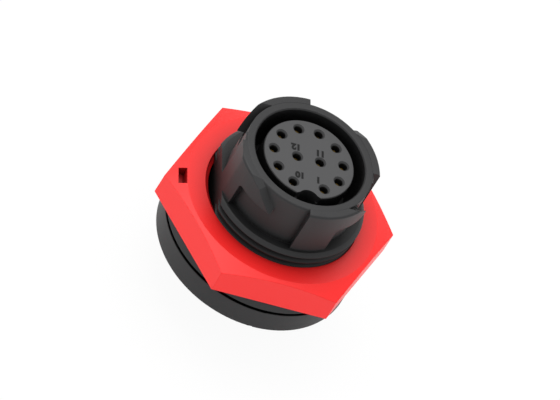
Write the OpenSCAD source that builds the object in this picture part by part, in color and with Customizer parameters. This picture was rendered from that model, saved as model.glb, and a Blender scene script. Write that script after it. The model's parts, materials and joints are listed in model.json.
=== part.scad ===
// Panel receptacle of a quick-lock circular connector: a moulded shell with a
// threaded barrel, four L-shaped lugs round its mouth, a hexagonal panel nut,
// a flange gasket and an insulator that carries twelve socket contacts.
// Z is the connector's axis, with the mating face up. Z = 0 is the front face
// of the panel gasket, where the rear of the panel seats. Lengths are in mm.

/* [Panel side] */
// Diameter of the barrel's thread over its crests
thread_d = 20; // [19:0.5:21]
// Pitch of the barrel's thread
thread_pitch = 1; // [0.75:0.25:1.25]
// Depth of the thread from crest to root
thread_depth = 0.58; // [0.4:0.02:0.6]
// Distance from the barrel's front edge to the middle of the thread's first groove
thread_lead = 0.88; // [0.7:0.02:1]
// Depth of the flat that stops the barrel turning in its panel
flat_depth = 1.2; // [0.9:0.05:1.3]
// Height of the threaded barrel above the gasket
barrel_h = 6.68; // [6:0.2:8]
// Chamfer at the barrel's front edge
barrel_chamfer = 0.4; // [0.2:0.1:0.5]
// How far the rear flange reaches out beyond the thread
flange_reach = 2.75; // [2.5:0.25:4]
// Thickness of the rear flange
flange_t = 3.3; // [2:0.1:5]
// Rounding of the flange's rims
flange_edge = 0.25; // [0.1:0.05:0.5]
// Height of the land that lifts the gasket off the flange
land_h = 0.35; // [0.2:0.05:0.6]
// How far the land stays inside the flange's rim
land_inset = 0.6; // [0.3:0.1:0.9]
// Thickness of the panel gasket
gasket_t = 1.4; // [1:0.1:2]

/* [Nut] */
// Wall of the nut between the thread and a flat
nut_wall = 3; // [2.5:0.25:4]
// Height of the nut at its flat front face
nut_h = 4.3; // [3:0.1:5]
// How far the flat front face stays inside the flats
nut_face_inset = 0.5; // [0.4:0.1:1]
// Drop of the corner chamfer from the front face to a corner
nut_corner_drop = 1; // [0.5:0.1:1.5]
// Free height between the gasket and the nut
nut_play = 0.2; // [0.1:0.1:1]
// Radial clearance between the two threads
thread_clearance = 0.08; // [0.05:0.01:0.1]
// Radial size of the mark slot in one corner of the nut
nut_mark_l = 1; // [0.6:0.1:1.2]
// Depth of the mark slot below the corner chamfer
nut_mark_depth = 1; // [0.6:0.1:1.2]
// Width of the mark slot
nut_mark_w = 2.4; // [1.5:0.1:3]

/* [Front cup and lugs] */
// Step from the thread's crests in to the cup
cup_step = 1.6; // [1.5:0.1:1.8]
// Wall of the cup
cup_wall = 1.2; // [1:0.1:1.3]
// Width of the ring-shaped space round the contact insert
cavity_w = 1.3; // [1.2:0.1:1.4]
// Height of the cup above the barrel
cup_h = 6.77; // [6:0.1:9]
// Depth of the ring-shaped space round the contact insert
cavity_depth = 6.95; // [5:0.1:8]
// How far a lug stands out from the cup
lug_reach = 0.825; // [0.7:0.025:0.9]
// Angle that a lug's root takes round the cup
lug_root_angle = 30; // [24:1:32]
// Angle from a lug's start to the tip of its arm
lug_arm_angle = 75; // [68:1:78]
// Height of a lug's arm
lug_arm_h = 2.85; // [2:0.1:3.2]
// Rounding of the outer front edges of cup and lugs
front_edge = 0.3; // [0.2:0.05:0.4]
// Chamfer inside the cup's rim
mouth_chamfer = 0.15; // [0.1:0.05:0.25]
// Rounding where a lug's arm meets its root
lug_corner = 0.6; // [0.4:0.1:0.8]
// How far inside the cup's wall the lead-in ramp of the first pair of lugs starts, at the rim
ramp_a_inset = 1.66; // [1.5:0.05:1.8]
// Direction that this ramp faces, seen from the front
ramp_a_azimuth = 74; // [70:1:80]
// Travel of this ramp outwards for each millimetre down
ramp_a_run = 0.79; // [0.7:0.01:0.9]
// The same for the second pair, counted from the cup's far side
ramp_b_inset = 2.16; // [2:0.05:2.3]
// Direction that this ramp faces, counted from its own lug's start
ramp_b_azimuth = 180; // [175:1:185]
// Travel of this ramp outwards for each millimetre down
ramp_b_run = 1; // [0.9:0.01:1.1]

/* [Contacts] */
// Contacts on the outer ring
ring_count = 10; // [8:1:10]
// Distance from the insert's rim in to the outer ring of contacts
ring_inset = 1.35; // [1.25:0.05:1.45]
// Angle between neighbours on the outer ring
ring_step = 34.2; // [33:0.1:35]
// Distance from the axis to each of the two centre contacts
centre_r = 1.5; // [1.4:0.1:1.7]
// Bore of a socket contact, for the pin of the plug
socket_bore_d = 1; // [0.8:0.1:1]
// Outer diameter of a socket contact
socket_d = 1.6; // [1.4:0.1:1.6]
// Depth of the socket's bore
socket_depth = 6; // [4:0.5:7]
// Diameter of the collar that holds a contact
collar_d = 2.1; // [1.9:0.1:2.2]
// Height of that collar
collar_h = 1; // [0.8:0.1:1.2]
// Width of the slits that make a socket springy
slit_w = 0.2; // [0.15:0.05:0.25]
// Length of those slits
slit_l = 4.5; // [3:0.5:5]
// Length of the solder cup behind the rear insulator
tail_l = 5.5; // [4:0.5:8]
// Chamfer at the mouth of the socket's bore
socket_chamfer = 0.15; // [0.1:0.05:0.2]
// Bore of the solder cup
tail_bore_d = 1.1; // [0.9:0.1:1.1]
// Depth of the solder cup's bore
tail_bore_depth = 3.5; // [2:0.5:3.5]
// Length of the open side of a solder cup
tail_scoop_l = 2.6; // [1.5:0.1:3]

/* [Insulators and seals] */
// How far the insert's face lies behind the rim of the cup
insert_setback = 0.45; // [0.2:0.05:1]
// Chamfer round the insert's face
insert_chamfer = 0.25; // [0.15:0.05:0.3]
// Diameter of the pin holes in the insert's face
pin_hole_d = 1.1; // [1:0.05:1.2]
// Chamfer at the mouth of those holes
pin_hole_chamfer = 0.12; // [0.08:0.02:0.15]
// Thickness of the insert's wall in front of a socket
pin_wall_t = 1.1; // [0.8:0.1:1.5]
// Radius of the keyway's arch
keyway_r = 1.38; // [1.2:0.02:1.5]
// Depth of the keyway from the insert's rim
keyway_depth = 1.02; // [0.9:0.02:1.1]
// Thickness of the shell's web that the insert's shoulder seats on
web_t = 1.5; // [1:0.1:2]
// How far the insert's shoulder reaches out beyond its nose
shoulder_w = 1.7; // [1.6:0.05:1.8]
// Thickness of the insert's shoulder
shoulder_t = 3; // [2.5:0.1:3.5]
// Section diameter of the sealing ring in front of the shoulder
oring_section_d = 0.9; // [0.7:0.1:1]
// Thickness of the soft seal between the two insulators
wafer_t = 1.2; // [1:0.1:2]
// Thickness of the rear insulator
rear_insert_t = 6.8; // [5:0.1:8]
// Width of the key that stops the insert turning in the shell
anti_turn_w = 1.6; // [1:0.1:2]
// Depth of that key
anti_turn_depth = 0.5; // [0.3:0.1:0.5]

/* [Rear] */
// Step from the thread's crests in to the skirt behind the flange
skirt_step = 0.4; // [0:0.1:0.6]
// Length of that skirt
skirt_l = 3.45; // [3:0.1:6]
// Thickness of the retaining ring
ring_t = 2; // [1.5:0.1:2.4]
// Radial width of the retaining ring
ring_w = 1.3; // [1:0.1:1.5]
// Width of the two spanner slots in the retaining ring
spanner_w = 1.6; // [1:0.1:2]
// Clearance between pieces that slip into one another
slip = 0.05; // [0.03:0.01:0.08]

/* [Hidden] */
$fn = 96;

bite = 0.2;                                       // how far joined shapes of one piece run into each other
far = 40;                                         // reach of cutting blocks
crossing = 1.05;                                  // lets a rounding cross its faces instead of touching them
thread_r = thread_d / 2;
root_r = thread_r - thread_depth;
flat_to_axis = thread_r - flat_depth;
flange_r = thread_r + flange_reach;
skirt_r = thread_r - skirt_step;
nut_af = thread_d + 2 * nut_wall;
nut_face_r = nut_af / 2 - nut_face_inset;
cup_r = thread_r - cup_step;
cup_bore_r = cup_r - cup_wall;
lug_r = cup_r + lug_reach;
insert_r = cup_bore_r - cavity_w;
body_bore_r = insert_r + shoulder_w;
ring_r = insert_r - ring_inset;
gasket_rear_z = -gasket_t;
land_rear_z = gasket_rear_z - land_h;
flange_rear_z = land_rear_z - flange_t;
skirt_rear_z = flange_rear_z - skirt_l;
rim_z = barrel_h + cup_h;
arm_z = rim_z - lug_arm_h;
cavity_z = rim_z - cavity_depth;
web_rear_z = cavity_z - web_t;
face_z = rim_z - insert_setback;
shoulder_rear_z = web_rear_z - shoulder_t;
wafer_rear_z = shoulder_rear_z - wafer_t;
rear_insert_z = wafer_rear_z - rear_insert_t;
ring_rear_z = rear_insert_z - ring_t;
socket_tip_z = face_z - pin_wall_t - slip;
tail_z = rear_insert_z - tail_l;
key_azimuth = 90;
first_contact_azimuth = key_azimuth + (360 - (ring_count - 1) * ring_step) / 2;
first_root_z = barrel_h - thread_lead;            // middle of the thread's first groove

// Place of contact n, counted from 1 on the ring and then across the centre
function contact_place(n) =
    n <= ring_count
        ? [ring_r * cos(first_contact_azimuth + (n - 1) * ring_step),
           ring_r * sin(first_contact_azimuth + (n - 1) * ring_step)]
        : n == ring_count + 1 ? [-centre_r, 0] : [centre_r, 0];
contact_count = ring_count + 2;

// Outline of a thread between two heights, grown outwards by a clearance
function thread_outline(low_z, high_z, grow) =
    let (flank = thread_depth * tan(30),
         flat = thread_pitch / 2 - flank,
         first = ceil((low_z - first_root_z) / thread_pitch + 0.5),
         last = floor((high_z - first_root_z) / thread_pitch - 0.5))
    [for (i = [first:last], corner = [[root_r, -flat / 2], [root_r, flat / 2],
                                      [thread_r, flat / 2 + flank],
                                      [thread_r, thread_pitch - flat / 2 - flank]])
        [corner[0] + grow, first_root_z + i * thread_pitch + corner[1]]];

// Rectangle of a turned profile whose upper outer corner is rounded
module rounded_block(inner_r, outer_r, low_z, high_z, edge) {
    translate([inner_r, low_z]) square([outer_r - inner_r, high_z - low_z - edge]);
    translate([inner_r, low_z]) square([outer_r - inner_r - edge, high_z - low_z]);
    translate([outer_r - edge, high_z - edge]) circle(r = edge, $fn = 32);
}

// The threaded barrel as a turned solid, from the flange to the cup
module threaded_barrel() {
    rotate_extrude()
        intersection() {
            polygon(concat([[0, land_rear_z - bite], [root_r, land_rear_z - bite]],
                           thread_outline(0, barrel_h + thread_pitch, 0),
                           [[root_r, barrel_h], [0, barrel_h]]));
            polygon([[0, land_rear_z - bite], [thread_r, land_rear_z - bite],
                     [thread_r, barrel_h - barrel_chamfer],
                     [thread_r - barrel_chamfer, barrel_h], [0, barrel_h]]);
        }
}

// Block that cuts a lug's arm to a sloping lead-in
module ramp_cutter(azimuth, reach, run) {
    rotate([0, 0, azimuth])
        translate([reach, -far / 2, rim_z])
            rotate([0, atan(1 / run), 0])
                cube([far, far, far]);
}

// Sector of a lug's block, from the lug's start over a span, between two heights
module lug_sector(span, low_z, high_z, edge) {
    rotate_extrude(angle = span)
        rounded_block(cup_r - bite, lug_r, low_z, high_z, edge);
}

// Root of a lug with a small web in front that rounds the corner under the arm
module lug_web() {
    corner_angle = lug_corner / lug_r * 180 / PI;
    difference() {
        lug_sector(lug_root_angle + corner_angle, arm_z - lug_corner, arm_z + bite, bite / 2);
        rotate([0, 0, lug_root_angle + corner_angle])
            translate([0, 0, arm_z - lug_corner])
                rotate([0, 90, 0])
                    cylinder(r = lug_corner * crossing, h = far);
    }
}

// One L-shaped lug: a root as tall as the cup, and an arm along the rim with a pocket under it
module lug(azimuth, reach, run) {
    lug_sector(lug_root_angle, barrel_h - bite, rim_z, front_edge);
    lug_web();
    difference() {
        lug_sector(lug_arm_angle, arm_z, rim_z, front_edge);
        ramp_cutter(azimuth, reach, run);
    }
}

// Four lugs: two pairs, and the lugs of a pair face each other
module lugs() {
    for (half_turn = [0, 180])
        rotate([0, 0, half_turn]) {
            lug(ramp_a_azimuth, cup_r - ramp_a_inset, ramp_a_run);
            rotate([0, 0, 90]) lug(ramp_b_azimuth, ramp_b_inset - cup_r, ramp_b_run);
        }
}

// Cup round the mouth, still solid, with a rounded outer rim
module cup() {
    rotate_extrude()
        rounded_block(0, cup_r, barrel_h - bite, rim_z, front_edge);
}

// Everything that is hollow in the shell, from the mouth to the rear
module shell_bore() {
    translate([0, 0, cavity_z])
        cylinder(r = cup_bore_r, h = cavity_depth + bite);
    translate([0, 0, rim_z - mouth_chamfer])
        cylinder(r1 = cup_bore_r, r2 = cup_bore_r + 2 * mouth_chamfer, h = 2 * mouth_chamfer);
    translate([0, 0, web_rear_z - bite])
        cylinder(r = insert_r + slip, h = web_t + 2 * bite);
    translate([0, 0, skirt_rear_z - bite])
        cylinder(r = body_bore_r, h = web_rear_z - skirt_rear_z + bite);
    anti_turn_key(slip, skirt_rear_z - bite, web_rear_z);
}

// Disc with both rims rounded
module rounded_disc(radius, low_z, high_z, edge) {
    middle = (low_z + high_z) / 2;
    rotate_extrude() {
        rounded_block(0, radius, middle, high_z, edge);
        translate([0, middle]) mirror([0, 1]) rounded_block(0, radius, 0, middle - low_z, edge);
    }
}

// Key, or with a clearance its slot, between the insert and the shell
module anti_turn_key(clearance, low_z, high_z) {
    rotate([0, 0, key_azimuth + 180])
        translate([0, -anti_turn_w / 2 - clearance, low_z])
            cube([body_bore_r + anti_turn_depth + clearance - slip, anti_turn_w + 2 * clearance,
                  high_z - low_z]);
}

module shell() {
    color([0.33, 0.33, 0.34])
        difference() {
            union() {
                rounded_disc(flange_r, flange_rear_z, land_rear_z, flange_edge);
                translate([0, 0, land_rear_z - bite])
                    cylinder(r = flange_r - land_inset, h = land_h + bite);
                translate([0, 0, skirt_rear_z])
                    cylinder(r1 = skirt_r - barrel_chamfer, r2 = skirt_r, h = barrel_chamfer);
                translate([0, 0, skirt_rear_z + barrel_chamfer])
                    cylinder(r = skirt_r, h = skirt_l - barrel_chamfer + bite);
                threaded_barrel();
                cup();
                lugs();
            }
            shell_bore();
            translate([flat_to_axis, -far / 2, gasket_rear_z])
                cube([far, far, far]);
        }
}

module hex_nut() {
    nut_r = nut_af / sqrt(3);
    block_r = nut_r + bite;
    front_z = nut_play + nut_h;
    chamfer_slope = nut_corner_drop / (nut_r - nut_face_r);
    mouth_r = thread_r + thread_clearance;
    color([0.93, 0.14, 0.14])
        difference() {
            intersection() {
                translate([0, 0, nut_play])
                    cylinder(r = nut_r, h = nut_h, $fn = 6);
                rotate_extrude()
                    polygon([[0, 0], [block_r, 0],
                             [block_r, front_z - chamfer_slope * (block_r - nut_face_r)],
                             [nut_face_r, front_z], [0, front_z]]);
            }
            rotate_extrude()
                polygon(concat([[0, -nut_h], [root_r + thread_clearance, -nut_h]],
                               thread_outline(0, barrel_h + thread_pitch, thread_clearance),
                               [[root_r + thread_clearance, barrel_h + nut_h], [0, barrel_h + nut_h]]));
            translate([0, 0, front_z - thread_depth])
                cylinder(r1 = mouth_r - thread_depth, r2 = mouth_r + bite, h = thread_depth + bite);
            translate([0, 0, nut_play - bite])
                cylinder(r1 = mouth_r + bite, r2 = mouth_r - thread_depth, h = thread_depth + bite);
            translate([nut_face_r - slip, -nut_mark_w / 2, front_z - nut_corner_drop / 2 - nut_mark_depth])
                cube([nut_mark_l, nut_mark_w, nut_mark_depth + nut_corner_drop]);
        }
}

module panel_gasket() {
    color([0.30, 0.30, 0.31])
        rotate_extrude()
            rounded_block(thread_r + slip, flange_r, gasket_rear_z, 0, flange_edge);
}

// What is given, once at the place of every contact
module at_contacts() {
    for (n = [1:contact_count]) {
        place = contact_place(n);
        translate([place[0], place[1], 0]) children();
    }
}

module front_insert() {
    body_r = body_bore_r - slip;
    oring_mid_r = (insert_r + body_r) / 2;
    groove_w = oring_section_d + 2 * slip;
    color([0.34, 0.34, 0.35])
        difference() {
            union() {
                translate([0, 0, shoulder_rear_z])
                    cylinder(r = insert_r, h = face_z - insert_chamfer - shoulder_rear_z);
                translate([0, 0, face_z - insert_chamfer])
                    cylinder(r1 = insert_r, r2 = insert_r - insert_chamfer, h = insert_chamfer);
                translate([0, 0, shoulder_rear_z])
                    cylinder(r = body_r, h = shoulder_t);
                anti_turn_key(0, shoulder_rear_z, web_rear_z);
            }
            at_contacts() {
                translate([0, 0, shoulder_rear_z - bite])
                    cylinder(d = socket_d + 2 * slip, h = face_z - pin_wall_t - shoulder_rear_z + bite);
                translate([0, 0, shoulder_rear_z - bite])
                    cylinder(d = collar_d + 2 * slip, h = collar_h + slip + bite);
                cylinder(d = pin_hole_d, h = face_z + bite);
                translate([0, 0, face_z - pin_hole_chamfer])
                    cylinder(d1 = pin_hole_d, d2 = pin_hole_d + 4 * pin_hole_chamfer,
                             h = 2 * pin_hole_chamfer);
            }
            translate([0, 0, web_rear_z - oring_section_d])
                difference() {
                    cylinder(r = oring_mid_r + groove_w / 2, h = oring_section_d + bite);
                    translate([0, 0, -bite])
                        cylinder(r = oring_mid_r - groove_w / 2, h = oring_section_d + 3 * bite);
                }
            rotate([0, 0, key_azimuth])
                translate([insert_r - keyway_depth + keyway_r, 0, cavity_z])
                    cylinder(r = keyway_r, h = far);
        }
}

module insert_oring() {
    color([0.12, 0.12, 0.12])
        translate([0, 0, web_rear_z - oring_section_d / 2])
            rotate_extrude()
                translate([(insert_r + body_bore_r - slip) / 2, 0])
                    circle(d = oring_section_d - slip / 2, $fn = 48);
}

module contact_seal() {
    color([0.75, 0.36, 0.20])
        difference() {
            translate([0, 0, wafer_rear_z])
                cylinder(r = body_bore_r - slip, h = wafer_t);
            at_contacts()
                translate([0, 0, wafer_rear_z - bite])
                    cylinder(d = socket_d + 2 * slip, h = wafer_t + 2 * bite);
        }
}

module rear_insert() {
    color([0.36, 0.36, 0.37])
        difference() {
            translate([0, 0, rear_insert_z])
                cylinder(r = body_bore_r - slip, h = rear_insert_t);
            at_contacts()
                translate([0, 0, rear_insert_z - bite])
                    cylinder(d = socket_d + 2 * slip, h = rear_insert_t + 2 * bite);
        }
}

module retaining_ring() {
    outer_r = body_bore_r - slip;
    color([0.30, 0.30, 0.31])
        difference() {
            translate([0, 0, ring_rear_z])
                cylinder(r = outer_r, h = ring_t);
            translate([0, 0, ring_rear_z - bite])
                cylinder(r = outer_r - ring_w, h = ring_t + 2 * bite);
            translate([-far / 2, -spanner_w / 2, ring_rear_z - bite])
                cube([far, spanner_w, ring_t / 2 + bite]);
        }
}

// Socket contact: a slit socket in front, a collar, and a solder cup open towards the outside
module socket_contact(n) {
    place = contact_place(n);
    color([0.85, 0.68, 0.32])
        translate([place[0], place[1], 0])
            rotate([0, 0, atan2(place[1], place[0])])
                difference() {
                    union() {
                        translate([0, 0, tail_z])
                            cylinder(d = socket_d, h = socket_tip_z - tail_z);
                        translate([0, 0, shoulder_rear_z])
                            cylinder(d = collar_d, h = collar_h);
                    }
                    translate([0, 0, socket_tip_z - socket_depth])
                        cylinder(d = socket_bore_d, h = socket_depth + bite);
                    translate([0, 0, socket_tip_z - socket_chamfer])
                        cylinder(d1 = socket_bore_d, d2 = socket_bore_d + 4 * socket_chamfer,
                                 h = 2 * socket_chamfer);
                    translate([-socket_d, -slit_w / 2, socket_tip_z - slit_l])
                        cube([2 * socket_d, slit_w, slit_l + bite]);
                    translate([0, 0, tail_z - bite])
                        cylinder(d = tail_bore_d, h = tail_bore_depth + bite);
                    translate([tail_bore_d / 4, -socket_d, tail_z - bite])
                        cube([socket_d, 2 * socket_d, tail_scoop_l + bite]);
                }
}

module contact_01() { socket_contact(1); }
module contact_02() { socket_contact(2); }
module contact_03() { socket_contact(3); }
module contact_04() { socket_contact(4); }
module contact_05() { socket_contact(5); }
module contact_06() { socket_contact(6); }
module contact_07() { socket_contact(7); }
module contact_08() { socket_contact(8); }
module contact_09() { socket_contact(9); }
module contact_10() { socket_contact(10); }
module contact_11() { socket_contact(11); }
module contact_12() { socket_contact(12); }

shell();
hex_nut();
panel_gasket();
front_insert();
insert_oring();
contact_seal();
rear_insert();
retaining_ring();
contact_01();
contact_02();
contact_03();
contact_04();
contact_05();
contact_06();
contact_07();
contact_08();
contact_09();
contact_10();
contact_11();
contact_12();
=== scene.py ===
# %% [markdown]
# # A quick-lock panel receptacle in a light studio
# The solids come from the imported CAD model. This file gives them the looks of the real thing:
# glass-filled nylon, a red nylon nut, a rubber gasket, gold-plated sockets and the small numbers
# that name the contacts. Each step says what the piece is before it says how it is made.

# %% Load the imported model
import bpy
import bmesh
import json
import math
from mathutils import Matrix, Vector


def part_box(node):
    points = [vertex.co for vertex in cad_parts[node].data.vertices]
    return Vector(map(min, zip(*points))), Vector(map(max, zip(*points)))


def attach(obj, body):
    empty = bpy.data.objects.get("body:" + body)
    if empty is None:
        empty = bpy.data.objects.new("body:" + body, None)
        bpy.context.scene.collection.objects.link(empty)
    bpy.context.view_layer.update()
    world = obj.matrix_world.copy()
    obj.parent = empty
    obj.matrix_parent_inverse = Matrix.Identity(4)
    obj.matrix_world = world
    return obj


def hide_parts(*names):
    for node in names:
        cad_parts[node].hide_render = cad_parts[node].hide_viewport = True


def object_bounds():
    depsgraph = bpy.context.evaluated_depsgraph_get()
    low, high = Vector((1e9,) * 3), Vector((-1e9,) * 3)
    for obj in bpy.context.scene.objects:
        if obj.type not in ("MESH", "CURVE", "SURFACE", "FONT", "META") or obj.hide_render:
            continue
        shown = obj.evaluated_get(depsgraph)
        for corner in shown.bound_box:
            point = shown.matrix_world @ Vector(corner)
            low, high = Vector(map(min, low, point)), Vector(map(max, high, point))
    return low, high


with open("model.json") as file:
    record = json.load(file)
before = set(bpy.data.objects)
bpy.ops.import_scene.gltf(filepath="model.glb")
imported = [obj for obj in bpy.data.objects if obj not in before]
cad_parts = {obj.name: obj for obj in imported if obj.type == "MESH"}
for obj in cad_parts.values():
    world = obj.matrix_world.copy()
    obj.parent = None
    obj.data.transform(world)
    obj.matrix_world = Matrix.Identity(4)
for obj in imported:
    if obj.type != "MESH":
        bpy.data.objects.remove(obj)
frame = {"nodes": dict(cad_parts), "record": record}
cad_low, cad_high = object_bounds()
nodes = frame["nodes"]

# %% [markdown]
# ## Working in millimetres
# Blender's unit is the metre, and a connector is thought of in millimetres, so one constant
# turns one into the other. Three levels that the looks need are read from the nodes' own boxes:
# the insert's face, the rim of the cup and the rear of the gasket.

# %% Lengths read from the model
MM = 0.001
insert_face_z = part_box("front_insert")[1].z
rim_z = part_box("shell")[1].z
gasket_rear_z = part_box("panel_gasket")[0].z
print("insert face at", round(insert_face_z / MM, 2), "mm, rim at", round(rim_z / MM, 2), "mm")


# %% [markdown]
# ## Colours and nodes
# A designer names a colour by its sRGB hex value, and Blender's shaders add up light in linear
# values, so one function turns the first into the second. A second small function adds a
# shader node, sets its values and joins its inputs, which keeps each material short.

# %% Two helpers for materials
def colour(hex_code):
    """Linear RGBA of an sRGB hex colour such as 'fa4242'."""
    channels = [int(hex_code[i:i + 2], 16) / 255 for i in (0, 2, 4)]
    linear = [c / 12.92 if c <= 0.04045 else ((c + 0.055) / 1.055) ** 2.4 for c in channels]
    return (*linear, 1.0)


def add_node(tree, kind, links=None, **settings):
    """Adds a node; settings are its properties or inputs, links join other sockets to its inputs."""
    node = tree.nodes.new(kind)
    for name, value in settings.items():
        if hasattr(node, name):
            setattr(node, name, value)
        else:
            node.inputs[name.replace("_", " ")].default_value = value
    for name, socket in (links or {}).items():
        tree.links.new(socket, node.inputs[name])
    return node


print("red as linear light:", [round(c, 3) for c in colour("fa4242")])

# %% [markdown]
# ## Camera
# The connector is seen from in front and a little below its keyway, leaning to the left. A long
# lens from two metres keeps the hexagon's opposite sides almost parallel, as a catalogue shows
# them. Three angles place the camera: how far it looks down on the mating face, from which side,
# and how far it is rolled.

# %% Place the camera
LOOK_DOWN = math.radians(45.654)     # height of the camera above the panel's plane
LOOK_SIDE = math.radians(65.236)     # side that it stands on, from +X towards +Y
ROLL = math.radians(32.986)          # how far it is turned about the line of sight
DISTANCE = 2165 * MM
LENS_MM = 1146.0
SENSOR_MM = 36.0
NEAREST = 0.1                        # limits of what it sees, in metres
FARTHEST = 20.0
AIM_RIGHT = 0.095 * MM               # what it aims at, from the thread's axis
AIM_UP = 0.623 * MM
AIM_HEIGHT = 3.5 * MM

towards = Vector((math.cos(LOOK_DOWN) * math.cos(LOOK_SIDE),
                  math.cos(LOOK_DOWN) * math.sin(LOOK_SIDE),
                  math.sin(LOOK_DOWN)))
level_right = Vector((-math.sin(LOOK_SIDE), math.cos(LOOK_SIDE), 0))
level_up = towards.cross(level_right)
right = level_right * math.cos(ROLL) + level_up * math.sin(ROLL)
up = towards.cross(right)
aim = Vector((0, 0, AIM_HEIGHT)) + right * AIM_RIGHT + up * AIM_UP

camera_data = bpy.data.cameras.new("camera")
camera_data.lens = LENS_MM
camera_data.sensor_width = SENSOR_MM
camera_data.clip_start = NEAREST
camera_data.clip_end = FARTHEST
camera = bpy.data.objects.new("camera", camera_data)
bpy.context.scene.collection.objects.link(camera)
turned = Matrix((right, up, towards)).transposed().to_4x4()
camera.matrix_world = Matrix.Translation(aim + towards * DISTANCE) @ turned
bpy.context.scene.camera = camera
print("camera at", [round(c, 3) for c in camera.location], "m")

# %% [markdown]
# ## Tent of white light
# Small plastic parts are shown under a tent: nearly the same brightness from every side, so that
# a colour looks about as it is mixed. A world background does this without any lamp. Rays that
# come straight from the camera see it at full white, so the backdrop stays clean.

# %% The world as a tent
TENT_STRENGTH = 0.8

scene = bpy.context.scene
scene.view_settings.view_transform = "Standard"
world = bpy.data.worlds.new("white tent")
scene.world = world
world.use_nodes = True
world_tree = world.node_tree
world_tree.nodes.clear()
ray = add_node(world_tree, "ShaderNodeLightPath").outputs
tent = add_node(world_tree, "ShaderNodeBackground", Color=colour("ffffff"), Strength=TENT_STRENGTH)
backdrop = add_node(world_tree, "ShaderNodeBackground", Color=colour("ffffff"), Strength=1.0)
tent_or_backdrop = add_node(world_tree, "ShaderNodeMixShader", {"Fac": ray["Is Camera Ray"]})
world_tree.links.new(tent.outputs["Background"], tent_or_backdrop.inputs[1])
world_tree.links.new(backdrop.outputs["Background"], tent_or_backdrop.inputs[2])
add_node(world_tree, "ShaderNodeOutputWorld", {"Surface": tent_or_backdrop.outputs["Shader"]})
print("tent strength", TENT_STRENGTH)

# %% [markdown]
# ## Panel light
# A tent alone leaves a form flat. One wide, weak panel above the mating face makes the faces that
# look up a little lighter than the walls, and its size keeps every shadow edge soft.

# %% One wide panel above
PANEL_SIZE = 0.5
PANEL_DISTANCE = 0.6
PANEL_LEAN = 0.6                     # how far it leans from straight above to the camera's top
PANEL_WATTS = 2.5


def panel_light(name, direction, distance, size, watts):
    """Square soft light that shines on the connector from a direction."""
    light = bpy.data.lights.new(name, "AREA")
    light.shape = "SQUARE"
    light.size = size
    light.energy = watts
    lamp = bpy.data.objects.new(name, light)
    scene.collection.objects.link(lamp)
    lamp.location = direction.normalized() * distance
    lamp.rotation_mode = "QUATERNION"
    lamp.rotation_quaternion = direction.to_track_quat("Z", "Y")


leaning = Vector((0, 0, 1)) + up * PANEL_LEAN
panel_light("panel above", leaning, PANEL_DISTANCE, PANEL_SIZE, PANEL_WATTS)
print("panel light of", PANEL_WATTS, "W")

# %% [markdown]
# ## Floor
# The floor is a plain pale sheet that the solder cups stand on. Its card takes the shadow. For
# the camera alone a share of white glow is laid over it, so that it fades into the backdrop.

# %% A pale sheet under the solder cups
FLOOR_HALF = 3.0
GLOW_SHARE = 0.94

floor_z = cad_low.z
signs = [(-1, -1), (1, -1), (1, 1), (-1, 1)]
floor_corners = [(x * FLOOR_HALF, y * FLOOR_HALF, floor_z) for x, y in signs]
floor_mesh = bpy.data.meshes.new("floor")
floor_mesh.from_pydata(floor_corners, [], [(0, 1, 2, 3)])
floor = bpy.data.objects.new("floor", floor_mesh)
scene.collection.objects.link(floor)

paper = bpy.data.materials.new("white card")
paper.use_nodes = True
paper_tree = paper.node_tree
paper_tree.nodes.clear()
card = add_node(paper_tree, "ShaderNodeBsdfDiffuse", Color=colour("f6f6f6"))
glow = add_node(paper_tree, "ShaderNodeEmission", Color=colour("ffffff"), Strength=1.0)
to_camera = add_node(paper_tree, "ShaderNodeLightPath").outputs["Is Camera Ray"]
share = add_node(paper_tree, "ShaderNodeMath", {"Value": to_camera}, operation="MULTIPLY")
share.inputs[1].default_value = GLOW_SHARE
sheet = add_node(paper_tree, "ShaderNodeMixShader", {"Fac": share.outputs["Value"]})
paper_tree.links.new(card.outputs["BSDF"], sheet.inputs[1])
paper_tree.links.new(glow.outputs["Emission"], sheet.inputs[2])
add_node(paper_tree, "ShaderNodeOutputMaterial", {"Surface": sheet.outputs["Shader"]})
floor_mesh.materials.append(paper)
print("floor at", round(floor_z / MM, 2), "mm")

# %% [markdown]
# ## Finishes
# Every piece here is moulded or turned, so one function makes them all: a base colour, how
# rough the surface is, a fine grain and painted shade in deep places. The grain is what spark
# erosion leaves in the mould; its real pitch is near 0.05 mm, too fine to show, so it is drawn
# about 0.15 mm. The shade of corners and recesses is painted into the colour: an ambient
# occlusion node, which measures how walled in a point is, mixes in a darker colour.

# %% One function for moulded and turned finishes
GRAIN_MM = 0.15                      # pitch of the grain as it is drawn
GRAIN_RELIEF = 0.25                  # its height, as a share of its pitch
GRAIN_DETAIL = 2.0
PAINTED_SHADE_SAMPLES = 8
EDGE_SAMPLES = 4
MIX_A = 6                            # the mix node's colour inputs, and its colour output
MIX_B = 7
MIX_RESULT = 2


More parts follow.
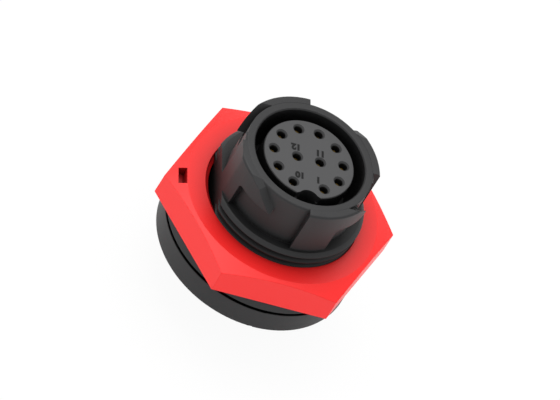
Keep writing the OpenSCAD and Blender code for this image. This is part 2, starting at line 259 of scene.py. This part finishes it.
def finish(name, base, painted_shade, roughness, grain_depth=0.0, edge_mm=0.0, painted_shade_mm=3.0,
           painted_shade_power=1.0, **sockets):
    """Principled material with a fine grain, softly rounded edges and painted shade in deep places."""
    material = bpy.data.materials.new(name)
    material.use_nodes = True
    tree = material.node_tree
    tree.nodes.clear()
    shader = add_node(tree, "ShaderNodeBsdfPrincipled", Roughness=roughness, **sockets)
    # Painted shade: an ambient occlusion node mixes the darker second colour into the base colour in
    # corners and recesses, where shade falls.
    painted_shade_occlusion = add_node(tree, "ShaderNodeAmbientOcclusion", samples=PAINTED_SHADE_SAMPLES,
                        Distance=painted_shade_mm * MM)
    clear = add_node(tree, "ShaderNodeMath", {"Value": painted_shade_occlusion.outputs["AO"]}, operation="POWER")
    clear.inputs[1].default_value = painted_shade_power
    painted_shade_mix = add_node(tree, "ShaderNodeMix", data_type="RGBA")
    tree.links.new(clear.outputs["Value"], painted_shade_mix.inputs["Factor"])
    painted_shade_mix.inputs[MIX_A].default_value = colour(painted_shade)
    painted_shade_mix.inputs[MIX_B].default_value = colour(base)
    tree.links.new(painted_shade_mix.outputs[MIX_RESULT], shader.inputs["Base Color"])
    normal = None
    if edge_mm:
        rounded = add_node(tree, "ShaderNodeBevel", samples=EDGE_SAMPLES, Radius=edge_mm * MM)
        normal = rounded.outputs["Normal"]
    if grain_depth:
        place = add_node(tree, "ShaderNodeTexCoord").outputs["Object"]
        grain = add_node(tree, "ShaderNodeTexNoise", {"Vector": place},
                         Scale=1 / (GRAIN_MM * MM), Detail=GRAIN_DETAIL)
        links = {"Height": grain.outputs["Fac"]}
        if normal:
            links["Normal"] = normal
        bump = add_node(tree, "ShaderNodeBump", links, Strength=grain_depth,
                        Distance=GRAIN_MM * MM * GRAIN_RELIEF)
        normal = bump.outputs["Normal"]
    if normal:
        tree.links.new(normal, shader.inputs["Normal"])
    add_node(tree, "ShaderNodeOutputMaterial", {"Surface": shader.outputs["BSDF"]})
    return material


print("grain drawn at", GRAIN_MM, "mm")

# %% [markdown]
# ## The object's own finishes
# The shell, the insert and the nut are nylon, which takes colour all through and wears well on a
# thread. Around them are rubber, silicone and gold-plated brass. Each finish starts from the
# usual refractive index and roughness of its material, and a comment says what the eye gets.

# %% Nylon, rubber, silicone and plated brass
# Painted shade: the second colour of each finish is the shade painted into its corners and recesses.
# Glass fibres lie just under the skin and break up the gloss: black, dull and even.
shell_nylon = finish("moulded glass-filled nylon", "262627", "040404", 0.5, grain_depth=0.15,
                     edge_mm=0.08, painted_shade_power=1.6, IOR=1.53, Specular_IOR_Level=0.3)
# Without glass the same black looks a shade lighter, with a little more gloss.
insert_nylon = finish("moulded nylon insert", "3e3e3f", "030303", 0.5, grain_depth=0.15,
                      edge_mm=0.05, painted_shade_power=1.7, IOR=1.53, Specular_IOR_Level=0.35)
# Dyed through and moulded in a smooth tool, the nut is bright red with a clear gloss.
nut_nylon = finish("moulded red nylon", "f8201e", "6a0206", 0.4, grain_depth=0.05,
                   edge_mm=0.1, painted_shade_mm=6.0, painted_shade_power=1.3, IOR=1.53, Specular_IOR_Level=0.33)
# Rubber scatters light in its skin, so it shows no sharp gloss.
gasket_rubber = finish("moulded gasket rubber", "2a2a2b", "050505", 0.65, grain_depth=0.2,
                       edge_mm=0.1, painted_shade_power=1.3, IOR=1.5, Specular_IOR_Level=0.3)
# A ring seal is moulded smoother than a gasket, and oiled, so it is blacker.
seal_rubber = finish("moulded seal rubber", "1c1c1c", "060606", 0.55, IOR=1.5)
# Silicone for seals is often brick red, soft to look at.
seal_silicone = finish("moulded silicone", "b45a3c", "5a2c1c", 0.5, IOR=1.41)
# Thin gold on turned brass is warm, and colours what it reflects.
contact_plating = finish("turned brass with gold plating", "d9b25e", "4a3a1a", 0.28, Metallic=1.0)

FINISH_OF_SLOT = {
    "shell_nylon": shell_nylon,
    "insert_nylon": insert_nylon,
    "nut_nylon": nut_nylon,
    "gasket_rubber": gasket_rubber,
    "seal_rubber": seal_rubber,
    "seal_silicone": seal_silicone,
    "contact_plating": contact_plating,
}
for part in frame["record"]["subparts"]:
    piece = nodes[part["node"]]
    piece.data.materials.clear()
    piece.data.materials.append(FINISH_OF_SLOT[part["material_slot"]])
print("finishes:", len(FINISH_OF_SLOT))

# %% [markdown]
# ## Closed meshes that are cut and joined
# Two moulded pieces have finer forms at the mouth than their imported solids. A copy of the
# solid's mesh is the start: it is welded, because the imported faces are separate, and then a
# boolean modifier cuts other closed meshes out of it or joins them to it. The exact solver is
# used, because it copes best with faces that nearly touch.

# %% Helpers for cutting and joining
WELD = 1e-7                          # points closer than this are one point, in metres
SMOOTH_BELOW = math.radians(28)      # edges flatter than this are shaded as one surface


def add_object(name, form):
    """New object from a bmesh whose lengths are in millimetres."""
    form.transform(Matrix.Scale(MM, 4))
    bmesh.ops.recalc_face_normals(form, faces=form.faces)
    mesh = bpy.data.meshes.new(name)
    form.to_mesh(mesh)
    form.free()
    made = bpy.data.objects.new(name, mesh)
    scene.collection.objects.link(made)
    return made


def welded_copy(name, node_name):
    """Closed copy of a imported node's mesh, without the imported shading."""
    packed = nodes[node_name].data.copy()
    packed.attributes.remove(packed.attributes["custom_normal"])
    form = bmesh.new()
    form.from_mesh(packed)
    bpy.data.meshes.remove(packed)
    bmesh.ops.remove_doubles(form, verts=form.verts, dist=WELD)
    form.transform(Matrix.Scale(1 / MM, 4))
    return add_object(name, form)


def keep_modified(piece):
    """Puts the modified mesh in place of the piece's own."""
    graph = bpy.context.evaluated_depsgraph_get()
    mesh = bpy.data.meshes.new_from_object(piece.evaluated_get(graph))
    piece.modifiers.clear()
    piece.data = mesh


def combine(piece, tools, operation):
    """Cuts the tools out of the piece (DIFFERENCE) or joins them to it (UNION)."""
    for tool in tools:
        step = piece.modifiers.new(tool.name, "BOOLEAN")
        step.operation = operation
        step.solver = "EXACT"
        step.object = tool
    keep_modified(piece)
    for tool in tools:
        bpy.data.objects.remove(tool)


def shade(piece, material):
    """Smooth surfaces with sharp edges, flat faces that stay flat, and one material."""
    piece.data.shade_smooth()
    piece.data.set_sharp_from_angle(angle=SMOOTH_BELOW)
    weighted = piece.modifiers.new("flat faces", "WEIGHTED_NORMAL")
    weighted.keep_sharp = True
    keep_modified(piece)
    piece.data.materials.clear()
    piece.data.materials.append(material)


print("edges are sharp from", round(math.degrees(SMOOTH_BELOW)), "degrees")

# %% [markdown]
# ## Turned forms and slopes
# Nearly all that is cut or added here is turned about the connector's axis: a flat profile is
# swept through some degrees, or all the way round. The end of a lug's arm is a slope, which a
# bisecting plane cuts: it throws one side away, and the hole that it leaves is filled.

# %% Sector of a ring, and the cut along a slope
ARC_STEPS = 8
CUT_TOLERANCE = 1e-6
rim_mm = rim_z / MM


def square_profile(inner_r, outer_r, low_z, high_z):
    """Points round a rectangle."""
    return [(inner_r, low_z), (outer_r, low_z), (outer_r, high_z), (inner_r, high_z)]


def rounded_profile(inner_r, outer_r, low_z, high_z, edge):
    """Points round a rectangle whose upper outer corner is rounded."""
    corner = [math.radians(90 * i / ARC_STEPS) for i in range(ARC_STEPS + 1)]
    arc = [(outer_r - edge + edge * math.cos(a), high_z - edge + edge * math.sin(a)) for a in corner]
    return [(inner_r, low_z), (outer_r, low_z), *arc, (inner_r, high_z)]


def ring_sector(profile, start, end, turn=0.0):
    """Profile swept about the axis from start to end, in degrees; 360 of them close the ring."""
    form = bmesh.new()
    steps = round(end - start)
    is_whole = steps == 360
    rows = []
    for i in range(steps if is_whole else steps + 1):
        angle = math.radians(turn + start + (end - start) * i / steps)
        rows.append([form.verts.new((r * math.cos(angle), r * math.sin(angle), z)) for r, z in profile])
    if is_whole:
        rows.append(rows[0])
    for row, following in zip(rows, rows[1:]):
        for k in range(len(profile)):
            after = (k + 1) % len(profile)
            form.faces.new((row[k], row[after], following[after], following[k]))
    if not is_whole:
        form.faces.new(rows[0])
        form.faces.new(reversed(rows[-1]))
    return form


def cut_slope(form, azimuth, reach, run, keep_below):
    """Cuts a form along the plane that starts at the rim and moves out by run for each mm down."""
    outward = Vector((math.cos(math.radians(azimuth)), math.sin(math.radians(azimuth)), 0))
    start = outward * reach + Vector((0, 0, rim_mm))
    everything = list(form.verts) + list(form.edges) + list(form.faces)
    bmesh.ops.bisect_plane(form, geom=everything, dist=CUT_TOLERANCE, plane_co=start,
                           plane_no=outward + Vector((0, 0, run)),
                           clear_outer=keep_below, clear_inner=not keep_below)
    open_edges = [edge for edge in form.edges if edge.is_boundary]
    bmesh.ops.holes_fill(form, edges=open_edges, sides=0)


print("rounded corners have", ARC_STEPS, "steps")

# %% [markdown]
# ## Lugs of the cup
# A coupling ring is pushed over four L-shaped lugs. Each arm ends in a slope that leads the
# ring's own lugs into the pocket under the arm. The arms of one pair are taken off and made
# again with a rounded front edge and a slope in two steps; those of the other pair only get a
# wider slope. A pair is one lug and its twin, half a turn round the cup.

# %% The shell's arms made again
HAIR = 0.001                         # keeps joined faces from lying in one plane
CLEAR = 1                            # how far a cutter stands out past what it cuts
CUP_R = 8.4                          # outer radius of the cup's wall
LUG_R = 9.225                        # outer radius of the lugs
ARM_H = 2.85                         # from the rim down to the pocket
FRONT_EDGE = 0.3                     # rounding of a new arm's front edge
ARM_START = 30                       # first pair: where an arm begins, in degrees
ARM_END = 63                         # where the new arm ends
OLD_ARM_END = 80                     # where the old one ended
ARM_OVERLAP = 1                      # degrees that it reaches into its own post
ARM_ROOT = 0.15                      # and lengths that it reaches into the cup's wall
PAIR_A_SLOPE = (100.6, 4.8, 0.858)   # azimuth, reach at the rim, run for each mm down
PAIR_A_LEAD = (74, 6.96, 1.84)       # the flatter start of that slope
SLOPE_START = 120                    # second pair: the sector that the wider slope cuts
SLOPE_END = 170
SLOPE_ROOT = 0.2                     # how far that cut goes into the cup's wall
SLOPE_BELOW = 0.3                    # and below the arm
PAIR_B_SLOPE = (270, -6.5, 1.0)      # azimuth, reach at the rim, run for each mm down

arm_mm = rim_mm - ARM_H
shell = welded_copy("panel_shell", "shell")
old_arms = []
new_arms = []
wider_slopes = []
for half_turn in (0, 180):
    block = square_profile(CUP_R + HAIR, LUG_R + CLEAR, arm_mm - HAIR, rim_mm + CLEAR)
    old_arm = ring_sector(block, ARM_START, OLD_ARM_END, half_turn)
    old_arms.append(add_object(f"old_arm_{half_turn}", old_arm))
    bar = rounded_profile(CUP_R - ARM_ROOT, LUG_R - HAIR, arm_mm - 2 * HAIR, rim_mm - HAIR, FRONT_EDGE)
    new_arm = ring_sector(bar, ARM_START - ARM_OVERLAP, ARM_END, half_turn)
    for azimuth, reach, run in (PAIR_A_SLOPE, PAIR_A_LEAD):
        cut_slope(new_arm, azimuth + half_turn, reach, run, keep_below=True)
    new_arms.append(add_object(f"new_arm_{half_turn}", new_arm))
    wall = square_profile(CUP_R - SLOPE_ROOT, LUG_R + CLEAR, arm_mm - SLOPE_BELOW, rim_mm + CLEAR)
    wider_slope = ring_sector(wall, SLOPE_START, SLOPE_END, half_turn)
    azimuth, reach, run = PAIR_B_SLOPE
    cut_slope(wider_slope, azimuth + half_turn, reach, run, keep_below=False)
    wider_slopes.append(add_object(f"wider_slope_{half_turn}", wider_slope))
combine(shell, old_arms, "DIFFERENCE")
combine(shell, new_arms, "UNION")
combine(shell, wider_slopes, "DIFFERENCE")
print("new arms:", len(new_arms), "wider slopes:", len(wider_slopes))

# %% [markdown]
# ## Seam behind the gasket
# The gasket lies on a low land, so a narrow gap stays between its rim and the flange. A groove
# turned into the flange there makes the gap deep enough to look black from in front. After this
# last cut the shell is shaded and stands in for its solid.

# %% The groove in the flange
GROOVE_INNER_R = 11.2
GROOVE_OUTER_R = 12.7
GROOVE_DEPTH = 1.4
GROOVE_ABOVE = 0.05                  # the cutter stands this far proud of the land

groove_rear = gasket_rear_z / MM - GROOVE_DEPTH
groove_front = gasket_rear_z / MM + GROOVE_ABOVE
groove = square_profile(GROOVE_INNER_R, GROOVE_OUTER_R, groove_rear, groove_front)
combine(shell, [add_object("groove_ring", ring_sector(groove, 0, 360))], "DIFFERENCE")
shade(shell, shell_nylon)
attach(shell, "receptacle")
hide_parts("shell")
print("shell:", len(shell.data.polygons), "faces")

# %% [markdown]
# ## Countersunk pin holes
# Every pin hole opens in a small cone, which guides the pin of the plug. The cones are
# cut in one go: they are separate solids in one mesh, each over the middle of its contact.

# %% Cones over the pin holes
SINK_R = 0.75                        # radius of a cone at the insert's face
SINK_DEPTH = 0.22
SINK_ABOVE = 0.05                    # how far a cone stands out of the face
CONE_SIDES = 48
HOLE_R = 0.55
SINK_SLOPE = (SINK_R - HOLE_R) / SINK_DEPTH

face_mm = insert_face_z / MM
cones = bmesh.new()
for name in sorted(nodes):
    if name.startswith("contact_") and name != "contact_seal":
        contact_low, contact_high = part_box(name)
        middle = (contact_low + contact_high) / 2 / MM
        height = SINK_DEPTH + SINK_ABOVE + HAIR
        place = Matrix.Translation((middle.x, middle.y, face_mm + SINK_ABOVE - height / 2))
        bmesh.ops.create_cone(cones, cap_ends=True, segments=CONE_SIDES, depth=height, matrix=place,
                              radius1=SINK_R - SINK_SLOPE * (SINK_DEPTH + HAIR),
                              radius2=SINK_R + SINK_SLOPE * SINK_ABOVE)
print("cones:", len(cones.verts) // (2 * CONE_SIDES))

# %% [markdown]
# ## Rim and keyway of the insert
# The keyway lets the plug in at one angle only, so its mouth is opened a little: a cube turned
# across each corner takes it off. The insert's rim is a crisp edge with a fine bevel, added as a
# ring that ends at both sides of the keyway.

# %% The insert in place of its solid
INSERT_R = 5.899                     # a hair inside the insert's own rim
EDGE_BAND = 0.5                      # width and depth of the added ring
EDGE_BEVEL = 0.1
KEY_AZIMUTH = 90
KEY_HALF_ANGLE = 13                  # half of the angle that the keyway takes of the rim
KEY_CORNER = (1.285, 5.758)          # where the keyway's arch meets the insert's rim
KEY_CORNER_TURN = math.radians(28)   # direction of the cut across that corner
KEY_CORNER_CUT = 0.2                 # how deep the corner is cut
CUBE_SIZE = 2

corners = bmesh.new()
for side in (-1, 1):
    corner = Vector((side * KEY_CORNER[0], KEY_CORNER[1], face_mm))
    turn = Matrix.Rotation(side * KEY_CORNER_TURN, 4, "Z")
    inward = Matrix.Translation((0, CUBE_SIZE / 2 - KEY_CORNER_CUT, 0))
    bmesh.ops.create_cube(corners, size=CUBE_SIZE, matrix=Matrix.Translation(corner) @ turn @ inward)
band = [(INSERT_R - EDGE_BAND, face_mm - EDGE_BAND), (INSERT_R, face_mm - EDGE_BAND),
        (INSERT_R, face_mm - EDGE_BEVEL), (INSERT_R - EDGE_BEVEL, face_mm - HAIR),
        (INSERT_R - EDGE_BAND, face_mm - HAIR)]
rim_start = KEY_AZIMUTH + KEY_HALF_ANGLE
rim_end = KEY_AZIMUTH + 360 - KEY_HALF_ANGLE
insert = welded_copy("socket_insert", "front_insert")
combine(insert, [add_object("rim", ring_sector(band, rim_start, rim_end))], "UNION")
combine(insert, [add_object("cones", cones), add_object("corners", corners)], "DIFFERENCE")
shade(insert, insert_nylon)
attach(insert, "receptacle")
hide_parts("front_insert")
print("insert:", len(insert.data.polygons), "faces")

# %% [markdown]
# ## Contact numbers
# A fitter finds each contact by the small number beside its hole. On the insert the numbers are
# sunk as narrow strokes that look black; here that shade is painted as a thin black layer that lies
# on the face. A text object has the outlines ready; it is turned into a mesh so that it can be scaled
# to a height measured in millimetres, and given a hair's thickness so that it is a closed solid.

# %% Make the numbers
NUMBER_HEIGHT = 1.0 * MM
STROKE_GAIN = 0.06                     # thickening of the strokes, as a share of the letter size
NUMBER_THICKNESS = 0.02 * MM
TEXT_THICKNESS = 0.01                  # any small value, because it is scaled afterwards
NUMBER_PLACES = {                      # middle of each number on the insert's face, in mm
    "12": (1.80, -1.37),
    "11": (-1.47, -1.30),
    "10": (1.27, 2.86),
    "1": (-1.21, 2.93),
}
# Painted shade: sunk strokes hold no light, so the layer is nearly black, with hardly any gloss.
stroke_painted_shade = finish("painted shade of sunk strokes", "0a0a0a", "020202", 0.6, IOR=1.53,
                      Specular_IOR_Level=0.2)


def contact_number(digits, x_mm, y_mm):
    """Flat solid of a contact's number, upright for someone who looks at the mating face."""
    letters = bpy.data.curves.new("letters", "FONT")
    letters.body = digits
    letters.extrude = TEXT_THICKNESS
    letters.offset = STROKE_GAIN
    maker = bpy.data.objects.new("maker", letters)
    mesh = bpy.data.meshes.new_from_object(maker)
    bpy.data.objects.remove(maker)
    bpy.data.curves.remove(letters)
    low_corner = Vector([min(v.co[i] for v in mesh.vertices) for i in range(3)])
    high_corner = Vector([max(v.co[i] for v in mesh.vertices) for i in range(3)])
    middle = (low_corner + high_corner) / 2
    middle.z = low_corner.z
    size = high_corner - low_corner
    mesh.transform(Matrix.Translation(-middle))
    mesh.transform(Matrix.Diagonal((NUMBER_HEIGHT / size.y, NUMBER_HEIGHT / size.y,
                                    NUMBER_THICKNESS / size.z, 1)))
    mesh.transform(Matrix.Translation((x_mm * MM, y_mm * MM, insert_face_z)))
    mesh.materials.clear()
    mesh.materials.append(stroke_painted_shade)
    number = bpy.data.objects.new("number_" + digits, mesh)
    scene.collection.objects.link(number)
    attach(number, "receptacle")
    return number


for digits, (x_mm, y_mm) in NUMBER_PLACES.items():
    number = contact_number(digits, x_mm, y_mm)
    print(number.name, "is", round(number.dimensions.x / MM, 2), "mm wide")
